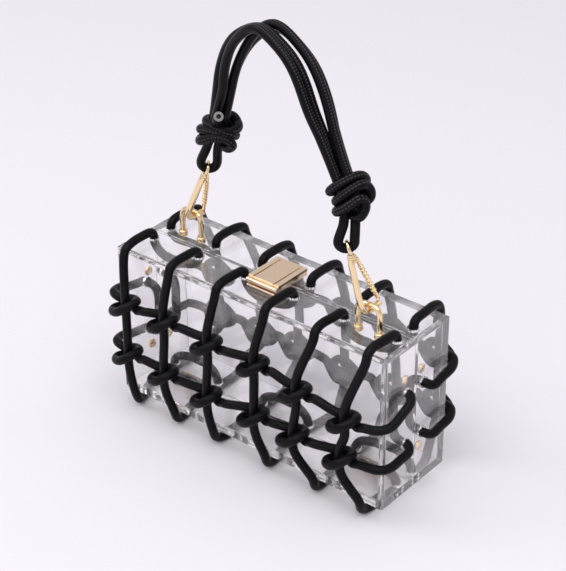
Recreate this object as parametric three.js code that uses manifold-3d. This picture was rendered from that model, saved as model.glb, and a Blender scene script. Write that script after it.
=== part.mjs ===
// A clear two-half box handbag: knotted cord net, stiff cord handle on two snap hooks, gold clasp and hinges.
// Millimetres, +Z up. The floor is z = 0, under the cord loops that carry the box. The front faces -Y.
import * as THREE from 'three';
import { mergeVertices } from 'three/addons/utils/BufferGeometryUtils.js';
import ManifoldModule from 'manifold-3d';

const wasm = await ManifoldModule();
wasm.setup();

// Driving dimensions
const CORD_DIAMETER = 5.5;
const CORD_RADIUS = CORD_DIAMETER / 2;
const PIECE_GAP = 0.3;
const BOX_LENGTH = 200;
const BOX_DEPTH = 60;
const BOX_HEIGHT = 101;
const WALL = 4;
const BOX_BOTTOM = CORD_DIAMETER + PIECE_GAP;
const BOX_TOP = BOX_BOTTOM + BOX_HEIGHT;
const CORD_HOLE_RADIUS = 3.4;
const HOLE_ROW_Y = 7.65;
const END_HOLE_HEIGHTS = [34, 68];
const NET_STANDOFF = 9.3;
const NET_AXIS_Y = -(BOX_DEPTH / 2 + NET_STANDOFF);
const WRAP_RADIUS = 6.1;
const NET_SIDES = 6;
const HANDLE_SIDES = 8;
const INNER_RUN_DROP = 3.4;
const INNER_RUN_SAG = 3;
const INNER_DROP_REACH = 8.3;
const STUD_THICKNESS = 1.6;
const STUD_RADIUS = 2.9;
const STUD_ABOVE_UPPER_HOLE = 8.5;
const STUD_BELOW_LOWER_HOLE = 10.4;
const ARCH_WIRE = 3.4;
const ARCH_SPAN = 14.5;
const ARCH_BAR_HEIGHT = 18.6;
const ARCH_CORNER = 4.5;
const ARCH_LEFT = { x: -71.5, y: 5.6 };
const ARCH_RIGHT = { x: 75.8, y: -13.2 };
const HOOK_WIRE = 3.4;
const EYE_WIRE = 2.2;
const EYE_STATION = 36;
const EYE_SWIVEL = 0.84;
const EYE_RING_RADIUS = 4.5;
const GATE_WIRE = 2.6;
const KNOT_HALF_HEIGHT = 12.5;
const KNOT_RADIUS = 14.2;
const STRAND_HALF_PITCH = 2.95;
const LOOP_HALF_WIDTH = 5.3;
const LOOP_CLEARANCE = 3.2;
const LOOP_STRAIGHT = 0.12;
const CLASP_CENTRE_X = 0.5;
const CLASP_WIDTH = 22.6;
const CLASP_FRONT_Y = -14.5;
const CLASP_BACK_Y = 13;
const CLASP_RISE = 6.2;
const CLASP_PLATE = 1.8;
const CLASP_BARREL_RADIUS = 2;
const HINGE_CENTRE_X = 71;
const HINGE_LENGTH = 22;
const HINGE_BARREL_RADIUS = 2.2;
const HINGE_PIN_RADIUS = 1.0;
const HINGE_LEAF = 0.8;
const HINGE_LEAF_WIDTH = 5.5;
const HINGE_AXIS_Z = 3.2;

// Net columns: where each upright cord leaves the top, where it meets the two rows, and where it tucks under.
const COLUMNS = [
  { hole_x: -91.0, row1_x: -86.5, row1_z: 73.8, row2_x: -86.6, row2_z: 38.8, foot_x: -84.5 },
  { hole_x: -54.6, row1_x: -55.5, row1_z: 74.2, row2_x: -57.0, row2_z: 36.2, foot_x: -52.0 },
  { hole_x: -18.2, row1_x: -21.0, row1_z: 72.3, row2_x: -22.5, row2_z: 35.0, foot_x: -20.5 },
  { hole_x: 18.2, row1_x: 14.5, row1_z: 72.6, row2_x: 14.0, row2_z: 37.4, foot_x: 20.0 },
  { hole_x: 54.6, row1_x: 45.5, row1_z: 67.6, row2_x: 43.6, row2_z: 36.6, foot_x: 56.0 },
  { hole_x: 91.0, row1_x: 80.0, row1_z: 62.9, row2_x: 77.5, row2_z: 36.9, foot_x: 89.5 },
];

// One hitch of a row round an upright, seen from the front: x right, y towards the box, z up,
// in wrap radii about the upright's axis.
const HITCH = [
  { x: -1.23, y: 0.49, z: 0.39 },
  { x: 0.07, y: 1.03, z: 0.44 },
  { x: 0.95, y: 0.59, z: 0.66 },
  { x: 1.05, y: -0.2, z: 0.75 },
  { x: 0.61, y: -0.87, z: 0.38 },
  { x: -0.23, y: -1.05, z: -0.21 },
  { x: -1.08, y: -0.74, z: -0.54 },
  { x: -1.44, y: -0.16, z: -0.61 },
  { x: -1.08, y: 0.62, z: -0.59 },
  { x: 0.1, y: 1.03, z: -0.56 },
  { x: 0.95, y: 0.66, z: -0.42 },
  { x: 1.6, y: 0.38, z: 0 },
  { x: 2.3, y: 0.07, z: 0.3 },
];

// Centre of each pair of handle strands in the handle's own plane: along it and up from the floor,
// and how far the two strands have rolled about each other there, in radians.
const PAIR_FRONT = [
  { along: -41.3, up: 213, turn: -0.15 },
  { along: -38, up: 229.5, turn: -0.35 },
  { along: -30.2, up: 247, turn: -0.65 },
  { along: -19.5, up: 257.5, turn: -1.2 },
  { along: -5, up: 264.9, turn: -1.9 },
  { along: 8.8, up: 260, turn: -1.9 },
  { along: 19.5, up: 253, turn: -1.85 },
  { along: 26.8, up: 242.4, turn: -1.8 },
  { along: 33, up: 228.4, turn: -1.85 },
  { along: 41.6, up: 215, turn: -2.05 },
];
const PAIR_BACK = [
  { along: -41, up: 211, turn: -0.75 },
  { along: -35.8, up: 228.6, turn: -0.9 },
  { along: -26.5, up: 245.1, turn: -1.24 },
  { along: -15.5, up: 257, turn: -1.8 },
  { along: -2, up: 263.8, turn: -2.3 },
  { along: 13.6, up: 257.6, turn: -2.38 },
  { along: 24, up: 250.6, turn: -2.3 },
  { along: 31.8, up: 240.6, turn: -2.25 },
  { along: 38.2, up: 228.4, turn: -2.25 },
  { along: 44.2, up: 212.2, turn: -2.3 },
];

const PAIR_OFFSET = 5.4;
const KNOT_LEFT = { along: -48.6, up: 187.9, lean: 15, hook_slide: 2, eye_near: -0.8 };
const KNOT_RIGHT = { along: 58.3, up: 185.6, lean: -30, hook_slide: -1, eye_near: 6.8 };

const vec = (x, y, z) => new THREE.Vector3(x, y, z);

// A curve whose rings sit exactly on its control points, close together in bends, far apart on straights.
// Its frames are carried without twist both ways from one ring, where the section's x lies along a given way.
class CordCurve extends THREE.CatmullRomCurve3 {
  constructor(points, seed) {
    super(points, false, 'centripetal');
    this.seed = seed;
  }

  getPointAt(u, target) {
    return this.getPoint(u, target);
  }

  getTangentAt(u, target) {
    return this.getTangent(u, target);
  }

  computeFrenetFrames(segments) {
    const tangents = [];
    for (let i = 0; i <= segments; i += 1) tangents.push(this.getTangent(i / segments).normalize());
    const normals = [];
    const settle = (i, way) => {
      normals[i] = way.clone().addScaledVector(tangents[i], -way.dot(tangents[i])).normalize();
    };
    settle(this.seed.ring, this.seed.way);
    for (let i = this.seed.ring + 1; i <= segments; i += 1) {
      settle(i, normals[i - 1]);
    }
    for (let i = this.seed.ring - 1; i >= 0; i -= 1) {
      settle(i, normals[i + 1]);
    }
    const binormals = tangents.map((tangent, i) => vec(0, 0, 0).crossVectors(tangent, normals[i]));
    return { tangents, normals, binormals };
  }
}

function roundSection(radius, sides) {
  const shape = new THREE.Shape();
  for (let i = 0; i < sides; i += 1) {
    const angle = (2 * Math.PI * i) / sides;
    const method = i === 0 ? 'moveTo' : 'lineTo';
    shape[method](radius * Math.cos(angle), radius * Math.sin(angle));
  }
  shape.closePath();
  return shape;
}

function tube(points, radius, sides, seed) {
  const path = new CordCurve(points, seed);
  const options = { steps: points.length - 1, bevelEnabled: false, extrudePath: path };
  return new THREE.ExtrudeGeometry(roundSection(radius, sides), options);
}

// Booleans: a closed manifold from a geometry, and back.
function solid(geometry) {
  const bare = geometry.clone();
  bare.deleteAttribute('normal');
  bare.deleteAttribute('uv');
  const merged = mergeVertices(bare, 1e-4);
  const vertProperties = new Float32Array(merged.attributes.position.array);
  const triVerts = new Uint32Array(merged.index.array);
  return new wasm.Manifold(new wasm.Mesh({ numProp: 3, vertProperties, triVerts }));
}

function toGeometry(manifold) {
  const mesh = manifold.getMesh();
  const geometry = new THREE.BufferGeometry();
  geometry.setAttribute('position', new THREE.BufferAttribute(new Float32Array(mesh.vertProperties), 3));
  geometry.setIndex(new THREE.BufferAttribute(new Uint32Array(mesh.triVerts), 1));
  geometry.computeVertexNormals();
  return geometry;
}

function boxBetween(low, high) {
  const geometry = new THREE.BoxGeometry(high[0] - low[0], high[1] - low[1], high[2] - low[2]);
  geometry.translate((low[0] + high[0]) / 2, (low[1] + high[1]) / 2, (low[2] + high[2]) / 2);
  return geometry;
}

function cylinderBetween(from, to, radius, sides) {
  const span = to.clone().sub(from);
  const geometry = new THREE.CylinderGeometry(radius, radius, span.length(), sides);
  const turn = new THREE.Quaternion().setFromUnitVectors(vec(0, 1, 0), span.clone().normalize());
  geometry.applyQuaternion(turn);
  const middle = from.clone().add(to).multiplyScalar(0.5);
  geometry.translate(middle.x, middle.y, middle.z);
  return geometry;
}

function union(geometries) {
  return toGeometry(geometries.map(solid).reduce((sum, next) => sum.add(next)));
}

function turnedAboutZ(geometry) {
  return geometry.clone().rotateZ(Math.PI);
}

// Materials
const acrylic = () => new THREE.MeshStandardMaterial({
  color: 0xe8eef2, roughness: 0.05, metalness: 0, transparent: true, opacity: 0.3,
});
const leather = () => new THREE.MeshStandardMaterial({ color: 0x17141a, roughness: 0.5, metalness: 0 });
const gold = () => new THREE.MeshStandardMaterial({ color: 0xd9b27c, roughness: 0.25, metalness: 1 });

const bag = new THREE.Group();
bag.name = 'box_handbag';

function place(name, geometry, material) {
  const mesh = new THREE.Mesh(geometry, material);
  mesh.name = name;
  bag.add(mesh);
}

// One half of the box: a tray open at the seam, drilled for the net's cords.
function frontTray() {
  const half = BOX_LENGTH / 2;
  const outer = solid(boxBetween([-half, -BOX_DEPTH / 2, BOX_BOTTOM], [half, -PIECE_GAP / 2, BOX_TOP]));
  const inner = solid(boxBetween(
    [-half + WALL, -BOX_DEPTH / 2 + WALL, BOX_BOTTOM + WALL],
    [half - WALL, 1, BOX_TOP - WALL],
  ));
  let tray = outer.subtract(inner);
  const drill = (from, to) => {
    tray = tray.subtract(solid(cylinderBetween(from, to, CORD_HOLE_RADIUS, 8)));
  };
  for (const column of COLUMNS) {
    for (const z of [BOX_BOTTOM + WALL / 2, BOX_TOP - WALL / 2]) {
      drill(vec(column.hole_x, -HOLE_ROW_Y, z - WALL), vec(column.hole_x, -HOLE_ROW_Y, z + WALL));
    }
  }
  for (const height of END_HOLE_HEIGHTS) {
    for (const side of [-1, 1]) {
      const x = side * (half - WALL / 2);
      const z = BOX_BOTTOM + height;
      drill(vec(x - WALL, -HOLE_ROW_Y, z), vec(x + WALL, -HOLE_ROW_Y, z));
    }
  }
  return toGeometry(tray);
}

// An upright: out of its top hole, over the front edge, down past both rows, under the box and back in.
// Inside it runs halfway to the next upright of its pair.
function uprightPoints(index) {
  const column = COLUMNS[index];
  const mate = COLUMNS[index % 2 === 0 ? index + 1 : index - 1];
  const inward = Math.sign(mate.hole_x - column.hole_x);
  const meet = (column.hole_x + mate.hole_x) / 2 - inward * PIECE_GAP / 2;
  const x = column.hole_x;
  const y = -HOLE_ROW_Y;
  const top = BOX_TOP - WALL - INNER_RUN_DROP;
  const base = BOX_BOTTOM + WALL + INNER_RUN_DROP;
  const shoulder = x + 0.1 * (column.row1_x - x);
  const tuck = column.foot_x + 0.3 * (x - column.foot_x);
  const lie = CORD_RADIUS * Math.cos(Math.PI / NET_SIDES);
  const slack = INNER_RUN_SAG;
  return [
    vec(meet, y - slack, top - slack),
    vec(meet - inward * 6, y - slack, top - slack),
    vec(x + inward * 3.4, y - slack * 0.2, top - 1.6),
    vec(x, y, BOX_TOP - WALL - 0.6),
    vec(x, y, BOX_TOP + 0.2),
    vec(x, y - 2, BOX_TOP + 3.6),
    vec(shoulder, y - 20, BOX_TOP + 4.2),
    vec(shoulder, y - 24.8, BOX_TOP + 2.2),
    vec(shoulder, y - 26.8, BOX_TOP - 3),
    vec(column.row1_x, NET_AXIS_Y, column.row1_z + 9),
    vec(column.row1_x, NET_AXIS_Y, column.row1_z - 9),
    vec(column.row2_x, NET_AXIS_Y, column.row2_z + 9),
    vec(column.row2_x, NET_AXIS_Y, column.row2_z - 9),
    vec(column.foot_x, NET_AXIS_Y + 1.6, 12.5),
    vec(column.foot_x, NET_AXIS_Y + 4.6, 5.2),
    vec(tuck, NET_AXIS_Y + 9.6, lie),
    vec(x, y - 6.6, lie),
    vec(x, y - 1.5, lie + 1.1),
    vec(x, y - 0.2, BOX_BOTTOM - 0.3),
    vec(x, y, BOX_BOTTOM + WALL + 0.6),
    vec(x + inward * 3.4, y - slack * 0.2, base + 1.6),
    vec(meet - inward * 6, y - slack, base + slack),
    vec(meet, y - slack, base + slack),
  ];
}
const UPRIGHT_SEED = { ring: 16, way: vec(1, 0, 0) };

// A row: up or down the inside of the left end, out through its hole, round the corner, hitched to every
// upright, round the right corner and in through the other end. The two rows meet halfway up inside.
function rowEnd(side, hitchEnd, holeZ) {
  const out = BOX_LENGTH / 2;
  const inside = out - WALL;
  const y = -HOLE_ROW_Y;
  const middle = BOX_BOTTOM + (END_HOLE_HEIGHTS[0] + END_HOLE_HEIGHTS[1]) / 2;
  const away = Math.sign(holeZ - middle);
  return [
    vec(side * (inside - INNER_DROP_REACH), y, middle + away * PIECE_GAP / 2),
    vec(side * (inside - INNER_DROP_REACH), y, holeZ - away * 6.5),
    vec(side * (inside - 6.5), y, holeZ - away * 1.8),
    vec(side * (inside - 2.3), y, holeZ - away * 0.1),
    vec(side * (out - WALL / 2), y, holeZ),
    vec(side * (out + 0.8), y, holeZ),
    vec(side * (out + 4), y - 3.2, holeZ - 1.6),
    vec(side * (out + 4.3), y - 12, 0.6 * holeZ + 0.4 * hitchEnd.z - 1.2),
    vec(side * (out + 3.9), y - 21.5, 0.25 * holeZ + 0.75 * hitchEnd.z - 0.6),
    vec(side * (out + 0.4), y - 27.2, 0.1 * holeZ + 0.9 * hitchEnd.z + 0.4),
  ];
}

function rowPoints(row) {
  const holeZ = BOX_BOTTOM + END_HOLE_HEIGHTS[row === 1 ? 1 : 0];
  const hitches = COLUMNS.flatMap((column) => HITCH.map((at) => vec(
    column[`row${row}_x`] + WRAP_RADIUS * at.x,
    NET_AXIS_Y + WRAP_RADIUS * at.y,
    column[`row${row}_z`] + WRAP_RADIUS * at.z,
  )));
  const inner = hitches.slice(0, -1);
  const left = rowEnd(-1, inner[0], holeZ);
  const right = rowEnd(1, inner[inner.length - 1], holeZ);
  return [...left, ...inner, ...right.reverse()];
}

const ROW_SEED = { ring: 4, way: vec(0, 0, 1) };

// Round stud on the inside of an end wall, in line with the rows' holes.
function endStud(side, row) {
  const upper = BOX_BOTTOM + END_HOLE_HEIGHTS[1] + STUD_ABOVE_UPPER_HOLE;
  const lower = BOX_BOTTOM + END_HOLE_HEIGHTS[0] - STUD_BELOW_LOWER_HOLE;
  const z = row === 1 ? upper : lower;
  const start = BOX_LENGTH / 2 - WALL - PIECE_GAP;
  return cylinderBetween(
    vec(side * start, -HOLE_ROW_Y, z),
    vec(side * (start - STUD_THICKNESS), -HOLE_ROW_Y, z),
    STUD_RADIUS,
    12,
  );
}

// Staple-shaped arch with a collar at each foot.
function arch(at) {
  const foot = BOX_TOP + PIECE_GAP;
  const bar = BOX_TOP + ARCH_BAR_HEIGHT;
  const leg = ARCH_SPAN / 2;
  const bend = ARCH_CORNER * 0.29;
  const wire = tube([
    vec(at.x - leg, at.y, foot),
    vec(at.x - leg, at.y, bar - ARCH_CORNER),
    vec(at.x - leg + bend, at.y, bar - bend),
    vec(at.x - leg + ARCH_CORNER, at.y, bar),
    vec(at.x + leg - ARCH_CORNER, at.y, bar),
    vec(at.x + leg - bend, at.y, bar - bend),
    vec(at.x + leg, at.y, bar - ARCH_CORNER),
    vec(at.x + leg, at.y, foot),
  ], ARCH_WIRE / 2, 8, { ring: 0, way: vec(0, 1, 0) });
  const collars = [-leg, leg].map((offset) => cylinderBetween(
    vec(at.x + offset, at.y, foot),
    vec(at.x + offset, at.y, foot + 3.4),
    2.9,
    10,
  ));
  return union([wire, ...collars]);
}

// The handle's own plane runs through both arches: 'along' it, 'up', and 'near' towards the front.
const ALONG = vec(ARCH_RIGHT.x - ARCH_LEFT.x, ARCH_RIGHT.y - ARCH_LEFT.y, 0).normalize();
const NEAR = vec(ALONG.y, -ALONG.x, 0);
const UP = vec(0, 0, 1);
const MIDDLE = vec((ARCH_LEFT.x + ARCH_RIGHT.x) / 2, (ARCH_LEFT.y + ARCH_RIGHT.y) / 2, 0);

function inHandle(along, near, up) {
  return MIDDLE.clone().addScaledVector(ALONG, along).addScaledVector(NEAR, near).addScaledVector(UP, up);
}

// One side's hook axis, from where it hangs on the arch's bar to the eye, and the knot with its own lean.
function pull(archAt, knot) {
  const bar = vec(archAt.x + knot.hook_slide, archAt.y, BOX_TOP + ARCH_BAR_HEIGHT);
  const knotCentre = inHandle(knot.along, 0, knot.up);
  const straight = knotCentre.clone().sub(bar).normalize();
  const axis = straight.multiplyScalar(EYE_STATION).addScaledVector(NEAR, knot.eye_near).normalize();
  const cross = vec(0, 0, 0).crossVectors(axis, NEAR).normalize();
  const near = vec(0, 0, 0).crossVectors(cross, axis).normalize();
  const eyeAcross = vec(0, 0, 0)
    .addScaledVector(cross, Math.cos(EYE_SWIVEL))
    .addScaledVector(near, -Math.sin(EYE_SWIVEL));
  const eyeFacing = vec(0, 0, 0).crossVectors(eyeAcross, axis);
  const lean = THREE.MathUtils.degToRad(knot.lean);
  const knotAxis = vec(0, 0, 0).addScaledVector(ALONG, Math.sin(lean)).addScaledVector(UP, Math.cos(lean));
  const knotCross = vec(0, 0, 0).crossVectors(knotAxis, NEAR).normalize();
  const at = (out, station, across = 0) => bar.clone()
    .addScaledVector(near, out)
    .addScaledVector(axis, station)
    .addScaledVector(cross, across);
  const atEye = (station, across) => at(0, station).addScaledVector(eyeAcross, across);
  const atKnot = (out, station, across = 0) => knotCentre.clone()
    .addScaledVector(NEAR, out)
    .addScaledVector(knotAxis, station)
    .addScaledVector(knotCross, across);
  return { at, atEye, atKnot, axis, cross, eyeFacing, knotAxis, knotCentre };
}

const LEFT_PULL = pull(ARCH_LEFT, KNOT_LEFT);
const RIGHT_PULL = pull(ARCH_RIGHT, KNOT_RIGHT);

// Snap hook: eye, collar, spine in front and a bow under the arch's bar, open behind where the gate shuts.
function hookFrame({ at, axis, cross, eyeFacing }) {
  const below = -(ARCH_WIRE / 2 + PIECE_GAP + HOOK_WIRE / 2);
  const spine = tube([
    at(0.9, 30.5),
    at(1.7, 27),
    at(4.5, 5),
    at(4.5, 1.2),
    at(3.4, below + 1.2),
    at(1.2, below),
    at(-6, below),
  ], HOOK_WIRE / 2, 8, { ring: 0, way: cross });
  const ring = new THREE.TorusGeometry(EYE_RING_RADIUS, EYE_WIRE / 2, 6, 12);
  const basis = new THREE.Matrix4().makeBasis(eyeFacing, axis, vec(0, 0, 0).crossVectors(eyeFacing, axis));
  basis.setPosition(at(0, EYE_STATION));
  ring.applyMatrix4(basis);
  const collar = cylinderBetween(at(0, 28.6), at(0, 32.6), 2.7, 10);
  return union([spine, ring, collar]);
}

function hookGate({ at }) {
  return cylinderBetween(at(-2.6, 28), at(-8, -0.9), GATE_WIRE / 2, 8);
}

// The cord loop under a knot, threaded through the hook's eye, which has swivelled on the hook's axis.
function handleLoop({ at, atEye, eyeFacing, knotAxis, knotCentre }) {
  const half = LOOP_HALF_WIDTH;
  const drop = at(0, EYE_STATION).sub(knotCentre);
  const under = -(KNOT_HALF_HEIGHT + LOOP_CLEARANCE) / drop.dot(knotAxis);
  const hang = (share, across) => atEye(EYE_STATION, across).addScaledVector(drop, share - 1);
  const side = (sign) => [
    hang(under, sign * half * 0.75),
    hang(under + LOOP_STRAIGHT, sign * half * 0.92),
    atEye(EYE_STATION + half, sign * half),
    atEye(EYE_STATION + half * 0.29, sign * half * 0.71),
  ];
  const points = [...side(-1), at(0, EYE_STATION), ...side(1).reverse()];
  return tube(points, CORD_RADIUS, HANDLE_SIDES, { ring: 4, way: eyeFacing });
}

// The knot: three wraps as a scalloped barrel along the line of pull.
function handleKnot({ knotAxis, knotCentre }) {
  const profile = [{ radius: 0.001, station: -1 }];
  for (const wrap of [-1, 0, 1]) {
    const swell = wrap === 0 ? 1 : 0.93;
    profile.push({ radius: 0.78 * swell, station: (wrap - 0.5) * 0.667 });
    profile.push({ radius: swell, station: (wrap - 0.25) * 0.667 });
    profile.push({ radius: swell, station: (wrap + 0.25) * 0.667 });
  }
  profile.push({ radius: 0.72, station: 1 });
  profile.push({ radius: 0.001, station: 1 });
  const outline = profile.map((p) => new THREE.Vector2(p.radius * KNOT_RADIUS, p.station * KNOT_HALF_HEIGHT));
  outline[0].x = 0;
  outline[outline.length - 1].x = 0;
  const geometry = new THREE.LatheGeometry(outline, 12);
  geometry.applyQuaternion(new THREE.Quaternion().setFromUnitVectors(vec(0, 1, 0), knotAxis));
  geometry.translate(knotCentre.x, knotCentre.y, knotCentre.z);
  return geometry;
}

// A strand beside its twin: the two turn about each other along the handle.
function strand(pair, nearSign, twinSign) {
  const rise = KNOT_HALF_HEIGHT + PIECE_GAP;
  const corner = nearSign * STRAND_HALF_PITCH * Math.SQRT1_2;
  const knots = [
    { line: LEFT_PULL, outward: -1, turn: -Math.PI / 4 },
    { line: RIGHT_PULL, outward: 1, turn: (-3 * Math.PI) / 4 },
  ];
  const ends = knots.map(({ line, outward, turn }) => {
    const out = corner + twinSign * STRAND_HALF_PITCH * Math.sin(turn);
    const across = twinSign * outward * STRAND_HALF_PITCH * Math.cos(turn) - corner;
    return [line.atKnot(out, rise, across), line.atKnot(out, rise + 4, across)];
  });
  const body = pair.map((p, i) => {
    const before = pair[Math.max(i - 1, 0)];
    const after = pair[Math.min(i + 1, pair.length - 1)];
    const run = new THREE.Vector2(after.along - before.along, after.up - before.up).normalize();
    const share = Math.sin((Math.PI * (i + 1)) / (pair.length + 1));
    const radial = twinSign * STRAND_HALF_PITCH * Math.cos(p.turn);
    const spread = STRAND_HALF_PITCH + (PAIR_OFFSET - STRAND_HALF_PITCH) * share;
    const aside = nearSign * spread + twinSign * STRAND_HALF_PITCH * Math.sin(p.turn);
    return inHandle(p.along - run.y * radial, aside, p.up + run.x * radial);
  });
  const points = [...ends[0], ...body, ...ends[1].reverse()];
  return tube(points, CORD_RADIUS, HANDLE_SIDES, { ring: 6, way: NEAR });
}

// Clasp: a block and barrel on the front half, a plate hinged on the barrel's line, a stud on the back half.
const CLASP_LOW = BOX_TOP + PIECE_GAP;
const CLASP_TOP = BOX_TOP + CLASP_RISE;
const CLASP_INSET = 0.6;
const CLASP_BLOCK_BACK_Y = -2.2;
const CLASP_FOOT_REACH = 1.6;
const CLASP_FOOT_JOIN = 1;
const CLASP_AXIS = { y: CLASP_FRONT_Y, z: CLASP_TOP - CLASP_BARREL_RADIUS };

function claspBase() {
  const left = CLASP_CENTRE_X - CLASP_WIDTH / 2 + CLASP_INSET;
  const right = CLASP_CENTRE_X + CLASP_WIDTH / 2 - CLASP_INSET;
  const barrelBack = CLASP_AXIS.y + CLASP_BARREL_RADIUS;
  const barrelUnderside = CLASP_AXIS.z - CLASP_BARREL_RADIUS;
  const block = boxBetween(
    [left, barrelBack + PIECE_GAP, CLASP_LOW],
    [right, CLASP_BLOCK_BACK_Y, CLASP_TOP - CLASP_PLATE - PIECE_GAP],
  );
  const foot = boxBetween(
    [left, CLASP_AXIS.y - CLASP_FOOT_REACH, CLASP_LOW],
    [right, barrelBack + CLASP_FOOT_JOIN, barrelUnderside - PIECE_GAP],
  );
  return union([block, foot]);
}

function claspLever() {
  const half = CLASP_WIDTH / 2;
  const barrel = cylinderBetween(
    vec(CLASP_CENTRE_X - half, CLASP_AXIS.y, CLASP_AXIS.z),
    vec(CLASP_CENTRE_X + half, CLASP_AXIS.y, CLASP_AXIS.z),
    CLASP_BARREL_RADIUS,
    12,
  );
  const plate = boxBetween(
    [CLASP_CENTRE_X - half, CLASP_AXIS.y, CLASP_TOP - CLASP_PLATE],
    [CLASP_CENTRE_X + half, CLASP_BACK_Y, CLASP_TOP],
  );
  return union([barrel, plate]);
}

function claspStud() {
  return boxBetween(
    [CLASP_CENTRE_X - 8, 2.2, CLASP_LOW],
    [CLASP_CENTRE_X + 8, 10.5, CLASP_TOP - CLASP_PLATE - PIECE_GAP],
  );
}

// Butt hinge under the bottom seam. The front leaf carries the pin and the outer knuckles.
function hingeKnuckle(fromX, toX, bored) {
  const ends = [vec(fromX, 0, HINGE_AXIS_Z), vec(toX, 0, HINGE_AXIS_Z)];
  const knuckle = solid(cylinderBetween(ends[0], ends[1], HINGE_BARREL_RADIUS, 10));
  if (!bored) {
    return knuckle;
  }
  const reach = vec(1, 0, 0);
  const bore = cylinderBetween(
    ends[0].clone().sub(reach),
    ends[1].clone().add(reach),
    HINGE_PIN_RADIUS + PIECE_GAP,
    10,
  );
  return knuckle.subtract(solid(bore));
}

function hingeLeaf(centreX, side) {
  const half = HINGE_LENGTH / 2;
  const third = HINGE_LENGTH / 6;
  const high = BOX_BOTTOM - PIECE_GAP;
  const spans = side < 0 ? [[-half, -third - PIECE_GAP], [third + PIECE_GAP, half]] : [[-third, third]];
  const inner = side < 0 ? -HINGE_BARREL_RADIUS - PIECE_GAP : HINGE_BARREL_RADIUS + PIECE_GAP;
  const outer = side * HINGE_LEAF_WIDTH;
  let leaf = solid(boxBetween(
    [centreX - half, Math.min(inner, outer), high - HINGE_LEAF],
    [centreX + half, Math.max(inner, outer), high],
  ));
  for (const [from, to] of spans) {
    const web = boxBetween(
      [centreX + from, Math.min(side * 0.9, side * 4), high - HINGE_LEAF],
      [centreX + to, Math.max(side * 0.9, side * 4), high],
    );
    leaf = leaf.add(solid(web)).add(hingeKnuckle(centreX + from, centreX + to, side > 0));
  }
  if (side < 0) {
    const pin = cylinderBetween(
      vec(centreX - half + 1, 0, HINGE_AXIS_Z),
      vec(centreX + half - 1, 0, HINGE_AXIS_Z),
      HINGE_PIN_RADIUS,
      8,
    );
    leaf = leaf.add(solid(pin));
  } else {
    const bore = cylinderBetween(
      vec(centreX - half, 0, HINGE_AXIS_Z),
      vec(centreX + half, 0, HINGE_AXIS_Z),
      HINGE_PIN_RADIUS + PIECE_GAP,
      10,
    );
    leaf = leaf.subtract(solid(bore));
  }
  return toGeometry(leaf);
}

// Assembly
const tray = frontTray();
place('front_tray', tray, acrylic());
place('back_tray', turnedAboutZ(tray), acrylic());

COLUMNS.forEach((column, index) => {
  const cord = tube(uprightPoints(index), CORD_RADIUS, NET_SIDES, UPRIGHT_SEED);
  place(`front_upright_${index + 1}`, cord, leather());
  place(`back_upright_${index + 1}`, turnedAboutZ(cord), leather());
});

for (const row of [1, 2]) {
  const label = row === 1 ? 'upper' : 'lower';
  const cord = tube(rowPoints(row), CORD_RADIUS, NET_SIDES, ROW_SEED);
  place(`front_${label}_row`, cord, leather());
  place(`back_${label}_row`, turnedAboutZ(cord), leather());
  for (const side of [-1, 1]) {
    const hand = side < 0 ? 'left' : 'right';
    const stud = endStud(side, row);
    place(`front_${label}_stud_${hand}`, stud, gold());
    place(`back_${label}_stud_${hand}`, turnedAboutZ(stud), gold());
  }
}

for (const hand of ['left', 'right']) {
  const line = hand === 'left' ? LEFT_PULL : RIGHT_PULL;
  const at = hand === 'left' ? ARCH_LEFT : ARCH_RIGHT;
  const centreX = hand === 'left' ? -HINGE_CENTRE_X : HINGE_CENTRE_X;
  place(`arch_${hand}`, arch(at), gold());
  place(`hook_${hand}`, hookFrame(line), gold());
  place(`hook_gate_${hand}`, hookGate(line), gold());
  place(`handle_loop_${hand}`, handleLoop(line), leather());
  place(`handle_knot_${hand}`, handleKnot(line), leather());
  place(`hinge_front_${hand}`, hingeLeaf(centreX, -1), gold());
  place(`hinge_back_${hand}`, hingeLeaf(centreX, 1), gold());
}

place('handle_strand_1', strand(PAIR_FRONT, 1, 1), leather());
place('handle_strand_2', strand(PAIR_FRONT, 1, -1), leather());
place('handle_strand_3', strand(PAIR_BACK, -1, 1), leather());
place('handle_strand_4', strand(PAIR_BACK, -1, -1), leather());

place('clasp_base', claspBase(), gold());
place('clasp_lever', claspLever(), gold());
place('clasp_stud', claspStud(), gold());

export default bag;
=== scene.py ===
"""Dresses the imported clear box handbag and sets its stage.

The pieces are the acrylic halves, the knotted leather net, the cord handle and the gold hardware.
"""

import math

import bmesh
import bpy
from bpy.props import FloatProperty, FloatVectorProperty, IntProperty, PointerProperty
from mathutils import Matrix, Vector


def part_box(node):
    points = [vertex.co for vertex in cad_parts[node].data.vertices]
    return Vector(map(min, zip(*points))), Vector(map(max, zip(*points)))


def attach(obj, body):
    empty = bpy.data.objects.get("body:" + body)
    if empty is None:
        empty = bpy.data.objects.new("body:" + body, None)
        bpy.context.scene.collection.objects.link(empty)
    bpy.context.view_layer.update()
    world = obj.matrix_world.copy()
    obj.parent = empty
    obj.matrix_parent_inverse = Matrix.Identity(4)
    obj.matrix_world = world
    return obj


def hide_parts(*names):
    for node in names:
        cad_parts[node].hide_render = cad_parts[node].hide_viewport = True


bl_info = {
    "name": "Clear Box Handbag",
    "version": (1, 0, 0),
    "blender": (4, 5, 0),
    "location": "View3D > Sidebar > Handbag",
    "description": "Builds the finished pieces of a clear box handbag around its packed frame",
    "category": "Object",
}

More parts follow.
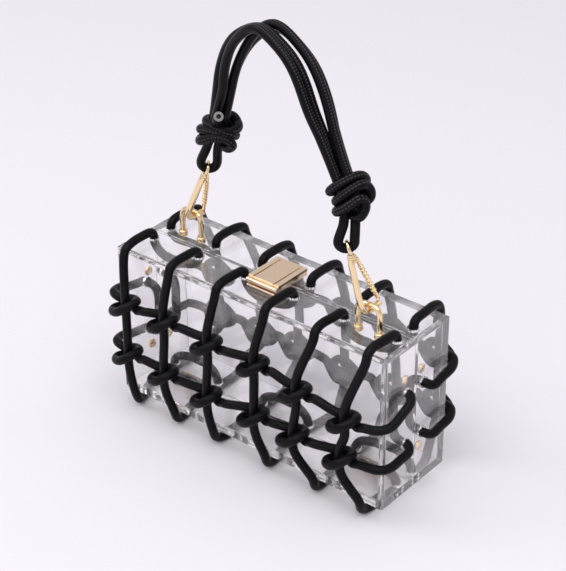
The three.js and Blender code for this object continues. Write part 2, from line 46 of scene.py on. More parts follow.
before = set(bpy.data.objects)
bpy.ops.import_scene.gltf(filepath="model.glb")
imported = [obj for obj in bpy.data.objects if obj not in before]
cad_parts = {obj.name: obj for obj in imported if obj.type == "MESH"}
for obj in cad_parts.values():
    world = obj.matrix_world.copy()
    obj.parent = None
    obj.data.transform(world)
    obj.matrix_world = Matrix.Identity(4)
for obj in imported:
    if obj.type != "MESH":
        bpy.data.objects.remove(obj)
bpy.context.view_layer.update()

MM = 0.001
UP = Vector((0.0, 0.0, 1.0))
RIGHT = Vector((1.0, 0.0, 0.0))
HALF_TURN = Matrix.Rotation(math.pi, 4, "Z")

# A round corner's middle point, as shares of its radius
CORNER_CUT = 0.29
CORNER_REACH = 0.71
EDGE_SEGMENTS = 3

# The box as packed, in metres
TRAY_LOW, TRAY_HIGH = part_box("front_tray")
BOX_BOTTOM = TRAY_LOW.z
BOX_TOP = TRAY_HIGH.z
BOX_FRONT = TRAY_LOW.y
BOX_END = TRAY_HIGH.x
SEAM = TRAY_HIGH.y

# Net: each upright's hole, its crossings with the two rows and where it tucks under, in millimetres
COLUMNS = (
    {"hole_x": -91.0, "row1_x": -86.5, "row1_z": 73.8, "row2_x": -86.6, "row2_z": 38.8, "foot_x": -84.5},
    {"hole_x": -54.6, "row1_x": -55.5, "row1_z": 74.2, "row2_x": -57.0, "row2_z": 36.2, "foot_x": -52.0},
    {"hole_x": -18.2, "row1_x": -21.0, "row1_z": 72.3, "row2_x": -22.5, "row2_z": 35.0, "foot_x": -20.5},
    {"hole_x": 18.2, "row1_x": 14.5, "row1_z": 72.6, "row2_x": 14.0, "row2_z": 37.4, "foot_x": 20.0},
    {"hole_x": 54.6, "row1_x": 45.5, "row1_z": 67.6, "row2_x": 43.6, "row2_z": 36.6, "foot_x": 56.0},
    {"hole_x": 91.0, "row1_x": 80.0, "row1_z": 62.9, "row2_x": 77.5, "row2_z": 36.9, "foot_x": 89.5},
)
END_HOLE_HEIGHTS = {1: 68.0, 2: 34.0}
HOLE_ROW_Y = -7.65
NET_STANDOFF = 9.3
INNER_RUN_DROP = 3.4
INNER_RUN_SAG = 3.0
INNER_DROP_REACH = 8.3
HITCH_CLEARANCE = 9
LYING_LIFT = 0.35
PIECE_GAP = 0.3
STUD_RIM = 0.5

# One hitch of a row round an upright, seen from the front, in wrap radii
HITCH = (
    {"x": -1.23, "y": 0.49, "z": 0.39},
    {"x": 0.07, "y": 1.03, "z": 0.44},
    {"x": 0.95, "y": 0.59, "z": 0.66},
    {"x": 1.05, "y": -0.2, "z": 0.75},
    {"x": 0.61, "y": -0.87, "z": 0.38},
    {"x": -0.23, "y": -1.05, "z": -0.21},
    {"x": -1.08, "y": -0.74, "z": -0.54},
    {"x": -1.44, "y": -0.16, "z": -0.61},
    {"x": -1.08, "y": 0.62, "z": -0.59},
    {"x": 0.1, "y": 1.03, "z": -0.56},
    {"x": 0.95, "y": 0.66, "z": -0.42},
    {"x": 1.6, "y": 0.38, "z": 0.0},
    {"x": 2.3, "y": 0.07, "z": 0.3},
)

# Handle: the middle of each pair of strands in the handle's own plane, and how far the two have rolled about
# each other there, in millimetres and radians
PAIR_FRONT = (
    {"along": -41.3, "up": 213.0, "turn": -0.15},
    {"along": -38.0, "up": 229.5, "turn": -0.35},
    {"along": -30.2, "up": 247.0, "turn": -0.65},
    {"along": -19.5, "up": 257.5, "turn": -1.2},
    {"along": -5.0, "up": 264.9, "turn": -1.9},
    {"along": 8.8, "up": 260.0, "turn": -1.9},
    {"along": 19.5, "up": 253.0, "turn": -1.85},
    {"along": 26.8, "up": 242.4, "turn": -1.8},
    {"along": 33.0, "up": 228.4, "turn": -1.85},
    {"along": 41.6, "up": 215.0, "turn": -2.05},
)
PAIR_BACK = (
    {"along": -41.0, "up": 211.0, "turn": -0.75},
    {"along": -35.8, "up": 228.6, "turn": -0.9},
    {"along": -26.5, "up": 245.1, "turn": -1.24},
    {"along": -15.5, "up": 257.0, "turn": -1.8},
    {"along": -2.0, "up": 263.8, "turn": -2.3},
    {"along": 13.6, "up": 257.6, "turn": -2.38},
    {"along": 24.0, "up": 250.6, "turn": -2.3},
    {"along": 31.8, "up": 240.6, "turn": -2.25},
    {"along": 38.2, "up": 228.4, "turn": -2.25},
    {"along": 44.2, "up": 212.2, "turn": -2.3},
)
PAIR_OFFSET = 5.4
STRAND_HALF_PITCH = 2.95

# Relaxing of the strands: sample spacing in millimetres, passes all along, then passes near the ends alone
EASE_STEP = 2
EASE_PASSES = 12
END_EASE_PASSES = 60
END_EASE_REACH = 22

KNOTS = {
    "left": {"along": -48.6, "up": 187.9, "lean": 15.0, "hook_slide": 2.0, "eye_near": -0.8},
    "right": {"along": 58.3, "up": 185.6, "lean": -30.0, "hook_slide": -1.0, "eye_near": 6.8},
}
STRAND_END_STATIONS = (-6, 8.5)
LOOP_HALF_WIDTH = 4.6
TAIL_RING = ((1.3, -0.6), (2.8, -0.6), (2.8, 0.05), (2.5, 0.25), (1.6, 0.25), (1.3, 0.05))

# Gold hardware in millimetres, with turned profiles as (radius, height)
ARCHES = {
    "left": {"x": -71.5, "y": 5.6, "body": "back"},
    "right": {"x": 75.8, "y": -13.2, "body": "front"},
}
ARCH_BAR_HEIGHT = 18.6
ARCH_HALF_SPAN = 7.25
ARCH_CORNER = 4.5
ARCH_COLLAR = (
    (1.4, 0.05), (2.6, 0.05), (2.9, 0.35), (2.9, 0.9), (2.5, 1.2), (2.5, 1.9), (2.75, 2.2), (2.75, 2.9),
    (2.4, 3.4), (1.4, 3.4),
)
EYE_STATION = 36.0
EYE_SWIVEL = 0.84
EYE_RADIUS = 3.95
EYE_WIRE_RADIUS = 1.0
EYE_WIRE_SIDES = 14
HOOK_SECTION = (1.3, 0.85)
HOOK_BARREL = (
    (0.0, 27.2), (2.2, 27.2), (2.6, 27.6), (2.6, 28.4), (2.25, 28.7), (2.25, 29.4), (2.6, 29.7), (2.6, 30.6),
    (2.1, 31.2), (1.5, 32.3), (0.0, 32.3),
)
GATE_RADIUS = 1.15
GATE_SECTION = (1.2, 0.9)
GATE_RIDGE = ((0.0, -0.55), (1.3, -0.55), (1.62, -0.2), (1.62, 0.2), (1.3, 0.55), (0.0, 0.55))
GATE_RIDGES = {"count": 8, "first": 0.2, "spacing": 0.085}
HINGE_BARREL = 2.2
HINGE_BORE = 1.2
HINGE_LEAF_WIDTH = 5.5
HINGE_LEAF_THICKNESS = 0.8
HINGE_WEB = (1.3, 3.4)

# Sewn seam of a cord: shares of a turn round it, and the stitches' pitch along it in millimetres
GROOVE_SLOPE = 30.0
GROOVE_BLEND = 0.3
STITCH_PITCH = 1.7
STITCH_HALF_LENGTH = 0.28
STITCH_OFFSET = 0.055
STITCH_HALF_WIDTH = 0.02

# Sockets of a colour mix node
MIX_FACTOR = 0
MIX_FIRST = 6
MIX_SECOND = 7
MIX_RESULT = 2

# Stage in metres and watts
FLOOR_REACH = 6.0
WORLD_COLOUR = (0.97, 0.95, 0.99)
WORLD_STRENGTH = 0.64
WORLD_LIFT_THROUGH_WALLS = 0.36
SOFTBOXES = (
    {"name": "overhead_softbox", "place": (0.4, -0.6, 1.9), "size": 2.2, "power": 29.0},
    {"name": "key_softbox", "place": (-1.9, -1.1, 2.1), "size": 1.1, "power": 17.0},
)
LIGHT_AIM = Vector((0.0, 0.0, 0.08))
CLEAR_BOUNCES = 40
GLOSSY_BOUNCES = 16

# Camera, as the photograph's perspective gives it
VIEW_AZIMUTH = 39.741
VIEW_ELEVATION = 30.977
VIEW_ROLL = -0.45
VIEW_DISTANCE = 0.994648
VIEW_TARGET = Vector((0.003917, 0.0, 0.104389))
VIEW_LENS = 108.45
VIEW_SENSOR = 36.0


# Sizes and colours that a user would change

def length_property(name, description, default, **limits):
    limits.setdefault("precision", 4)
    return FloatProperty(name=name, description=description, default=default, unit="LENGTH", **limits)


def colour_property(name, description, default):
    return FloatVectorProperty(
        name=name, description=description, default=default, subtype="COLOR", size=3, min=0.0, max=1.0)


class HandbagSizes(bpy.types.PropertyGroup):
    """Sizes of the finished pieces."""

    cord_diameter: length_property("Cord diameter", "Thickness of every leather cord", 0.0055, min=0.002)
    cord_sides: IntProperty(
        name="Cord sides", description="Sides of a cord's round section", default=18, min=8)
    cord_step: length_property("Cord step", "Spacing of the rings along a cord", 0.0013, min=0.0005)
    wrap_radius: length_property(
        "Wrap radius", "Middle of a row's cord from the upright that it is hitched to", 0.0061)
    wall: length_property("Wall", "Thickness of the acrylic", 0.004)
    wall_edge: length_property("Wall edge", "Rounding of the acrylic's edges", 0.00045, precision=5)
    hole_radius: length_property(
        "Hole radius", "Radius of the holes that the net's cords pass through", 0.0032)
    arch_wire: length_property("Arch wire", "Thickness of the arches' wire", 0.0034)
    hook_wire: length_property("Hook wire", "Thickness of the snap hooks' bow", 0.0034)


class HandbagColours(bpy.types.PropertyGroup):
    """Colours of the finishes and the stage."""

    leather: colour_property("Leather", "Cord leather", (0.0042, 0.0036, 0.0045))
    thread: colour_property("Thread", "Sewing thread along the handle's cords", (0.055, 0.051, 0.058))
    acrylic: colour_property("Acrylic", "Tint of the clear walls", (1.0, 0.99, 1.0))
    gold: colour_property("Gold", "Plating of arches, hooks, hinges and studs", (0.93, 0.73, 0.44))
    clasp: colour_property("Clasp", "Satin plating of the clasp", (0.97, 0.75, 0.54))
    floor: colour_property("Floor", "Pale studio floor", (0.79, 0.757, 0.8))


def sizes():
    return bpy.context.scene.handbag_sizes


def colours():
    return bpy.context.scene.handbag_colours


def mm(x, y, z):
    return Vector((x, y, z)) * MM


# Materials

def new_material(name):
    material = bpy.data.materials.new(name)
    material.use_nodes = True
    tree = material.node_tree
    shader = tree.nodes["Principled BSDF"]
    return material, tree, shader


def add_node(tree, kind, **values):
    node = tree.nodes.new(kind)
    for key, value in values.items():
        setattr(node, key, value)
    return node


def math_node(tree, operation, *values):
    """A math node's result, from values that are plain numbers or other nodes' outputs."""
    node = add_node(tree, "ShaderNodeMath", operation=operation)
    for socket, value in zip(node.inputs, values):
        if isinstance(value, (int, float)):
            socket.default_value = value
        else:
            tree.links.new(value, socket)
    return node.outputs[0]


def blended(tree, factor, first, second):
    """A mix of two colours, each a plain colour or another node's output."""
    node = add_node(tree, "ShaderNodeMix", data_type="RGBA")
    tree.links.new(factor, node.inputs[MIX_FACTOR])
    for index, colour in ((MIX_FIRST, first), (MIX_SECOND, second)):
        if isinstance(colour, bpy.types.NodeSocket):
            tree.links.new(colour, node.inputs[index])
        else:
            node.inputs[index].default_value = (*colour, 1.0)
    return node.outputs[MIX_RESULT]


def noise(tree, coordinates, scale, detail=3.0, roughness=0.5):
    node = add_node(tree, "ShaderNodeTexNoise")
    node.inputs["Scale"].default_value = scale
    node.inputs["Detail"].default_value = detail
    node.inputs["Roughness"].default_value = roughness
    tree.links.new(coordinates, node.inputs["Vector"])
    return node.outputs["Fac"]


def spread(tree, value, low, high):
    node = add_node(tree, "ShaderNodeMapRange")
    node.inputs["To Min"].default_value = low
    node.inputs["To Max"].default_value = high
    tree.links.new(value, node.inputs["Value"])
    return node.outputs["Result"]


def bump(tree, height, strength, distance, before=None):
    node = add_node(tree, "ShaderNodeBump")
    node.inputs["Strength"].default_value = strength
    node.inputs["Distance"].default_value = distance
    tree.links.new(height, node.inputs["Height"])
    if before is not None:
        tree.links.new(before, node.inputs["Normal"])
    return node.outputs["Normal"]


def object_coordinates(tree):
    return add_node(tree, "ShaderNodeTexCoord").outputs["Object"]


def cord_leather(name, thread):
    """Black round leather with a sewn seam: the UV map runs round the cord and along it in millimetres."""
    material, tree, shader = new_material(name)
    uv = add_node(tree, "ShaderNodeUVMap", uv_map="cord")
    parts = add_node(tree, "ShaderNodeSeparateXYZ")
    tree.links.new(uv.outputs["UV"], parts.inputs["Vector"])
    around, along = parts.outputs["X"], parts.outputs["Y"]
    place = object_coordinates(tree)

    seam_distance = math_node(tree, "ABSOLUTE", math_node(tree, "SUBTRACT", around, 0.5))
    slope = math_node(tree, "MULTIPLY", seam_distance, GROOVE_SLOPE)
    groove = math_node(tree, "SMOOTH_MIN", slope, 1.0, GROOVE_BLEND)
    stitch_phase = math_node(tree, "FRACT", math_node(tree, "MULTIPLY", along, 1.0 / STITCH_PITCH))
    stitch_middle = math_node(tree, "ABSOLUTE", math_node(tree, "SUBTRACT", stitch_phase, 0.5))
    stitch_length = math_node(tree, "LESS_THAN", stitch_middle, STITCH_HALF_LENGTH)
    beside = math_node(tree, "ABSOLUTE", math_node(tree, "SUBTRACT", seam_distance, STITCH_OFFSET))
    stitch_width = math_node(tree, "LESS_THAN", beside, STITCH_HALF_WIDTH)
    stitch = math_node(tree, "MULTIPLY", stitch_length, stitch_width)

    grain = noise(tree, place, 1500.0, 4.0, 0.6)
    creases = noise(tree, place, 420.0, 2.0, 0.5)
    wear = noise(tree, place, 60.0, 3.0, 0.55)
    leather = Vector(colours().leather)
    tint = blended(tree, wear, leather * 0.75, leather * 1.5)
    tree.links.new(blended(tree, stitch, tint, thread), shader.inputs["Base Color"])
    tree.links.new(spread(tree, creases, 0.26, 0.42), shader.inputs["Roughness"])
    first = bump(tree, grain, 0.22, 0.0003)
    second = bump(tree, groove, 0.55, 0.0005, first)
    third = bump(tree, stitch, 0.6, 0.0004, second)
    tree.links.new(third, shader.inputs["Normal"])
    shader.inputs["Specular IOR Level"].default_value = 0.1
    return material


def net_leather():
    return cord_leather("net_leather", Vector(colours().leather) * 2)


def handle_leather():
    return cord_leather("handle_leather", colours().thread)


def clear_acrylic():
    """Polished cast acrylic with faint wipe marks in the gloss."""
    material, tree, shader = new_material("clear_acrylic")
    shader.inputs["Base Color"].default_value = (*colours().acrylic, 1.0)
    shader.inputs["Transmission Weight"].default_value = 0.965
    shader.inputs["IOR"].default_value = 1.49
    place = object_coordinates(tree)
    tree.links.new(spread(tree, noise(tree, place, 55.0, 4.0), 0.0, 0.018), shader.inputs["Roughness"])
    return material


def plated(name, colour, smooth, rough, scale):
    """Plated metal: an even polish broken by fine handling marks."""
    material, tree, shader = new_material(name)
    place = object_coordinates(tree)
    marks = noise(tree, place, scale, 4.0, 0.6)
    shade = Vector(colour)
    tone = blended(tree, marks, shade * 0.9, [min(1.0, c * 1.06) for c in shade])
    tree.links.new(tone, shader.inputs["Base Color"])
    tree.links.new(spread(tree, marks, smooth, rough), shader.inputs["Roughness"])
    tree.links.new(bump(tree, marks, 0.06, 0.0002), shader.inputs["Normal"])
    shader.inputs["Metallic"].default_value = 1.0
    return material


def cut_edge():
    """The raw grey edge of a cut cord."""
    material, tree, shader = new_material("cut_edge")
    fibre = noise(tree, object_coordinates(tree), 1800.0, 3.0, 0.6)
    tone = blended(tree, fibre, (0.1, 0.095, 0.095), (0.4, 0.385, 0.385))
    tree.links.new(tone, shader.inputs["Base Color"])
    tree.links.new(bump(tree, fibre, 0.3, 0.0003), shader.inputs["Normal"])
    shader.inputs["Roughness"].default_value = 0.7
    return material


def bright_gold():
    return plated("bright_gold", colours().gold, 0.1, 0.2, 900.0)


def satin_clasp():
    return plated("satin_clasp", colours().clasp, 0.24, 0.36, 700.0)


def studio_floor():
    material, tree, shader = new_material("studio_floor")
    place = object_coordinates(tree)
    cloudy = noise(tree, place, 2.0, 2.0)
    floor = Vector(colours().floor)
    tree.links.new(blended(tree, cloudy, floor * 0.995, floor), shader.inputs["Base Color"])
    shader.inputs["Roughness"].default_value = 0.9
    shader.inputs["Specular IOR Level"].default_value = 0.1
    return material


FINISHES = {
    "net_cord": net_leather,
    "handle_cord": handle_leather,
    "cut_edge": cut_edge,
    "acrylic": clear_acrylic,
    "gold": bright_gold,
    "clasp_gold": satin_clasp,
}
MADE = {}


def finish_for(finish):
    make = FINISHES[finish]
    if make not in MADE:
        MADE[make] = make()
    return MADE[make]


# Shaping helpers

def new_piece(name, bm, slot, body, nodes=(), smooth=True, finish=None):
    """Turns a bmesh into a finished piece that rides on a body and stands for the given nodes."""
    bmesh.ops.recalc_face_normals(bm, faces=bm.faces)
    mesh = bpy.data.meshes.new(name)
    bm.to_mesh(mesh)
    bm.free()
    for polygon in mesh.polygons:
        polygon.use_smooth = smooth
    mesh.materials.append(finish_for(finish or slot))
    piece = bpy.data.objects.new(name, mesh)
    bpy.context.scene.collection.objects.link(piece)
    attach(piece, body)
    if nodes:
        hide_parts(*nodes)
    return piece


def round_edges(piece, width):
    """Rounds a piece's sharp edges and keeps its flat faces flat."""
    modifier = piece.modifiers.new("rounded", "BEVEL")
    modifier.width = width
    modifier.segments = EDGE_SEGMENTS
    modifier.limit_method = "ANGLE"
    modifier.angle_limit = math.radians(50.0)
    modifier.harden_normals = True


def smooth_route(points, step):
    """A centripetal curve through the points, with samples about a step apart."""
    ends = [points[0] * 2 - points[1], *points, points[-1] * 2 - points[-2]]
    route = [points[0].copy()]
    for p0, p1, p2, p3 in zip(ends, ends[1:], ends[2:], ends[3:]):
        d0, d1, d2 = (max((b - a).length, 1e-6) ** 0.5 for a, b in ((p0, p1), (p1, p2), (p2, p3)))
        leave = ((p1 - p0) / d0 - (p2 - p0) / (d0 + d1) + (p2 - p1) / d1) * d1
        arrive = ((p2 - p1) / d1 - (p3 - p1) / (d1 + d2) + (p3 - p2) / d2) * d1
        count = max(1, math.ceil((p2 - p1).length / step))
        for i in range(1, count + 1):
            t = i / count
            route.append(
                p1 * (2 * t**3 - 3 * t**2 + 1) + leave * (t**3 - 2 * t**2 + t)
                + p2 * (3 * t**2 - 2 * t**3) + arrive * (t**3 - t**2)
            )
    return route


def carried_frames(route, way):
    """A matrix at each point of a route, turned as little as possible from one to the next."""
    frames = []
    for i, point in enumerate(route):
        ahead = (route[min(i + 1, len(route) - 1)] - route[max(i - 1, 0)]).normalized()
        side = (way - ahead * way.dot(ahead)).normalized()
        way = side
        turn = Matrix((side, ahead.cross(side), ahead)).transposed().to_4x4()
        frames.append(Matrix.Translation(point) @ turn)
    return frames


def sweep(bm, route, radius, sides, way, section=(1.0, 1.0)):
    """Extrudes a round or oval ring along a route and caps it, with a UV map round and along it."""
    frames = carried_frames(route, way)
    around = bm.verts.layers.float.get("around") or bm.verts.layers.float.new("around")
    along = bm.verts.layers.float.get("along") or bm.verts.layers.float.new("along")
    uv = bm.loops.layers.uv.get("cord") or bm.loops.layers.uv.new("cord")
    old_faces = set(bm.faces)
    ring = bmesh.ops.create_circle(bm, cap_ends=True, radius=radius, segments=sides)["verts"]
    for i, vert in enumerate(ring):
        vert[around] = i / sides
        vert[along] = 0.0
    bmesh.ops.scale(bm, vec=(*section, 1.0), verts=ring)
    bmesh.ops.transform(bm, matrix=frames[0], verts=ring)
    edges = list({edge for vert in ring for edge in vert.link_edges})
    length = 0.0
    for i in range(1, len(frames)):
        grown = bmesh.ops.extrude_edge_only(bm, edges=edges)["geom"]
        verts = [item for item in grown if isinstance(item, bmesh.types.BMVert)]
        edges = [
            item for item in grown
            if isinstance(item, bmesh.types.BMEdge) and all(vert in verts for vert in item.verts)
        ]
        length += (route[i] - route[i - 1]).length
        for vert in verts:
            vert[along] = length / MM
        bmesh.ops.transform(bm, matrix=frames[i] @ frames[i - 1].inverted(), verts=verts)
    bmesh.ops.contextual_create(bm, geom=edges)
    for face in set(bm.faces) - old_faces:
        turns = [loop.vert[around] for loop in face.loops]
        wraps = max(turns) - min(turns) > 0.5 and len(turns) == 4
        for loop in face.loops:
            turn = loop.vert[around]
            loop[uv].uv = (turn + 1.0 if wraps and turn < 0.5 else turn, loop.vert[along])


def eased(points):
    """A cord's own route with its tight bends relaxed and its ends held."""
    route = smooth_route(points, EASE_STEP * MM)
    last = len(route) - 1
    for turn in range(EASE_PASSES + END_EASE_PASSES):
        before = list(route)
        for i in range(1, last):
            if turn < EASE_PASSES or min(i, last - i) < END_EASE_REACH:
                route[i] = (before[i - 1] + before[i] * 2 + before[i + 1]) / 4
    return route


def cord(bm, points, way):
    route = smooth_route(points, sizes().cord_step)
    sweep(bm, route, sizes().cord_diameter / 2, sizes().cord_sides, way)


def in_metres(profile):
    return [(radius * MM, height * MM) for radius, height in profile]


def turned(bm, profile, place, steps=28):
    """Spins a profile of (radius, height) points about Z and puts it in place.

    The profile is closed unless it starts on the axis.
    """
    others = set(bm.verts)
    verts = [bm.verts.new((radius, 0.0, height)) for radius, height in profile]
    pairs = list(zip(verts, verts[1:] + verts[:1]))
    edges = [bm.edges.new(pair) for pair in (pairs[:-1] if profile[0][0] == 0.0 else pairs)]
    bmesh.ops.spin(
        bm, geom=verts + edges, cent=(0, 0, 0), axis=UP, angle=2 * math.pi, steps=steps, use_merge=True)
    grown = [vert for vert in bm.verts if vert not in others]
    bmesh.ops.remove_doubles(bm, verts=grown, dist=1e-7)
    grown = [vert for vert in bm.verts if vert not in others]
    bmesh.ops.transform(bm, matrix=place, verts=grown)


def block(bm, low, high, edge=0.0):
    """A box between two corners, with rounded edges."""
    span = Vector(high) - Vector(low)
    middle = (Vector(high) + Vector(low)) / 2
    place = Matrix.Translation(middle) @ Matrix.Diagonal((*span, 1.0))
    verts = bmesh.ops.create_cube(bm, size=1.0, matrix=place)["verts"]
    if edge:
        edges = list({e for v in verts for e in v.link_edges})
        bmesh.ops.bevel(
            bm, geom=edges, offset=edge, segments=EDGE_SEGMENTS, profile=0.5, affect="EDGES", material=-1)


def along_axis(start, axis, way=RIGHT):
    """A matrix at a point whose Z is the given axis."""
    side = (way - axis * way.dot(axis)).normalized()
    turn = Matrix((side, axis.cross(side), axis)).transposed().to_4x4()
    return Matrix.Translation(start) @ turn


def halves(name):
    """The two halves of the bag: a prefix, its body and the turn that places it."""
    return ((f"front_{name}", "front", Matrix.Identity(4)), (f"back_{name}", "back", HALF_TURN))


# Acrylic box

def tray_mesh():
    """An open tray: a block, inset on its seam face and pushed in to leave even walls."""
    bm = bmesh.new()
    wall = sizes().wall
    block(bm, TRAY_LOW, TRAY_HIGH)
    seam_face = max(bm.faces, key=lambda face: face.calc_center_median().y)
    bmesh.ops.inset_region(bm, faces=[seam_face], thickness=wall, use_even_offset=True)
    pushed = bmesh.ops.extrude_discrete_faces(bm, faces=[seam_face])["faces"]
    depth = SEAM - BOX_FRONT - wall
    bmesh.ops.translate(bm, vec=(0.0, -depth, 0.0), verts=pushed[0].verts)
    return bm


def drill_mesh():
    """Round cutters through the top, bottom and end walls at every cord hole."""
    bm = bmesh.new()
    wall = sizes().wall
    y = HOLE_ROW_Y * MM
    places = []
    for column in COLUMNS:
        for z in (BOX_BOTTOM + wall / 2, BOX_TOP - wall / 2):
            places.append(Matrix.Translation((column["hole_x"] * MM, y, z)))
    for height in END_HOLE_HEIGHTS.values():
        for side in (-1, 1):
            turn = Matrix.Rotation(math.pi / 2, 4, "Y")
            place = (side * (BOX_END - wall / 2), y, BOX_BOTTOM + height * MM)
            places.append(Matrix.Translation(place) @ turn)
    radius = sizes().hole_radius
    for place in places:
        bmesh.ops.create_cone(
            bm, cap_ends=True, segments=32, radius1=radius, radius2=radius, depth=wall * 2, matrix=place)
    return bm


class HANDBAG_OT_trays(bpy.types.Operator):
    """Two clear acrylic trays with polished edges, drilled for the net."""

    bl_idname = "handbag.trays"
    bl_label = "Clear Trays"

    def execute(self, context):
        for name, body, turn in halves("tray"):
            cutter_mesh = bpy.data.meshes.new("drill")
            drill = drill_mesh()
            drill.transform(turn)
            drill.to_mesh(cutter_mesh)
            drill.free()
            cutter = bpy.data.objects.new("drill", cutter_mesh)
            context.scene.collection.objects.link(cutter)
            bm = tray_mesh()
            bm.transform(turn)
            tray = new_piece(f"{name}_clear", bm, "acrylic", body, [name], smooth=False)
            drilled = tray.modifiers.new("drilled", "BOOLEAN")
            drilled.object = cutter
            drilled.operation = "DIFFERENCE"
            drilled.solver = "EXACT"
            context.view_layer.update()
            evaluated = tray.evaluated_get(context.evaluated_depsgraph_get())
            shaped = bpy.data.meshes.new_from_object(evaluated)
            tray.modifiers.remove(drilled)
            plain = tray.data
            tray.data = shaped
            bpy.data.meshes.remove(plain)
            bpy.data.objects.remove(cutter)
            bpy.data.meshes.remove(cutter_mesh)
            for polygon in tray.data.polygons:
                polygon.use_smooth = True
            round_edges(tray, sizes().wall_edge)
            tray.visible_shadow = False
        return {"FINISHED"}


# Cord net

def upright_points(index):
    """From halfway to the next hole inside the top, out, down the face, under the box and back in."""
    column = COLUMNS[index]
    mate = COLUMNS[index + 1 if index % 2 == 0 else index - 1]
    x = column["hole_x"]
    inward = 1.0 if mate["hole_x"] > x else -1.0
    meet = (x + mate["hole_x"]) / 2
    y = HOLE_ROW_Y
    top_face = BOX_TOP / MM
    bottom_face = BOX_BOTTOM / MM
    wall = sizes().wall / MM
    top = top_face - wall - INNER_RUN_DROP
    base = bottom_face + wall + INNER_RUN_DROP
    net_y = BOX_FRONT / MM - NET_STANDOFF
    shoulder = x + 0.1 * (column["row1_x"] - x)
    tuck = column["foot_x"] + 0.3 * (x - column["foot_x"])
    lie = sizes().cord_diameter / 2 / MM
    slack = INNER_RUN_SAG
    row1_x, row1_z = column["row1_x"], column["row1_z"]
    row2_x, row2_z = column["row2_x"], column["row2_z"]
    return [
        mm(meet, y - slack, top - slack),
        mm(meet - inward * 6, y - slack, top - slack),
        mm(x + inward * 3.4, y - slack * 0.2, top - 1.6),
        mm(x, y, top_face - wall - 0.6),
        mm(x, y, top_face + 0.2),
        mm(x, y - 2, top_face + 3.6),
        mm(x, y - 11, top_face + 4.6),
        mm(shoulder, y - 20, top_face + 4.2),
        mm(shoulder, y - 24.8, top_face + 2.2),
        mm(shoulder, y - 26.8, top_face - 3),
        mm(row1_x, net_y, row1_z + HITCH_CLEARANCE),
        mm(row1_x, net_y, row1_z - HITCH_CLEARANCE),
        mm(row2_x, net_y, row2_z + HITCH_CLEARANCE),
        mm(row2_x, net_y, row2_z - HITCH_CLEARANCE),
        mm(column["foot_x"], net_y + 1.6, 12.5),
        mm(column["foot_x"], net_y + 4.6, 5.2),
        mm(tuck, net_y + 9.6, lie + LYING_LIFT),
        mm(x, y - 6.6, lie + LYING_LIFT),
        mm(x, y - 1.5, lie + 1.1),
        mm(x, y - 0.2, bottom_face - 0.3),
        mm(x, y, bottom_face + wall + 0.6),
        mm(x + inward * 3.4, y - slack * 0.2, base + 1.6),
        mm(meet - inward * 6, y - slack, base + slack),
        mm(meet, y - slack, base + slack),
    ]


def row_end(side, hitch_end_z, hole_z):
    """From inside the box out through the end wall and round the corner to the first hitch."""
    out = BOX_END / MM
    wall = sizes().wall / MM
    inside = out - wall
    y = HOLE_ROW_Y
    middle = BOX_BOTTOM / MM + (END_HOLE_HEIGHTS[1] + END_HOLE_HEIGHTS[2]) / 2
    away = math.copysign(1.0, hole_z - middle)
    return [
        mm(side * (inside - INNER_DROP_REACH), y, middle + away * PIECE_GAP / 2),
        mm(side * (inside - INNER_DROP_REACH), y, hole_z - away * 6.5),
        mm(side * (inside - 6.5), y, hole_z - away * 1.8),
        mm(side * (inside - 2.3), y, hole_z - away * 0.1),
        mm(side * (out - wall / 2), y, hole_z),
        mm(side * (out + 0.8), y, hole_z),
        mm(side * (out + 4.0), y - 3.2, hole_z - 1.6),
        mm(side * (out + 4.3), y - 12, 0.6 * hole_z + 0.4 * hitch_end_z - 1.2),
        mm(side * (out + 3.9), y - 21.5, 0.25 * hole_z + 0.75 * hitch_end_z - 0.6),
        mm(side * (out + 0.4), y - 27.2, 0.1 * hole_z + 0.9 * hitch_end_z + 0.4),
    ]


def row_points(row):
    hole_z = BOX_BOTTOM / MM + END_HOLE_HEIGHTS[row]
    net_y = BOX_FRONT / MM - NET_STANDOFF
    wrap = sizes().wrap_radius / MM
    hitches = []
    for column in COLUMNS:
        x, z = column[f"row{row}_x"], column[f"row{row}_z"]
        hitches += [mm(x + wrap * at["x"], net_y + wrap * at["y"], z + wrap * at["z"]) for at in HITCH]
    inner = hitches[:-1]
    left = row_end(-1, inner[0].z / MM, hole_z)
    right = row_end(1, inner[-1].z / MM, hole_z)
    return [*left, *inner, *reversed(right)]


def stud_profile(thickness, radius):
    """A low round head with a rolled rim and a dished middle."""
    rim = STUD_RIM * MM
    return [
        (0.0, 0.0), (radius - rim / 2, 0.0), (radius, rim / 2), (radius, thickness - rim),
        (radius - rim, thickness), (radius - 2 * rim, thickness), (radius - 3 * rim, thickness - rim),
        (0.0, thickness - 1.5 * rim),
    ]


class HANDBAG_OT_uprights(bpy.types.Operator):
    """The net's uprights, each out of its top hole, down the face and back in under the box."""

    bl_idname = "handbag.uprights"
    bl_label = "Net Uprights"

    def execute(self, context):
        for index in range(len(COLUMNS)):
            for name, body, turn in halves(f"upright_{index + 1}"):
                bm = bmesh.new()
                cord(bm, upright_points(index), UP)
                bm.transform(turn)
                new_piece(f"{name}_cord", bm, "net_cord", body, [name])
        return {"FINISHED"}


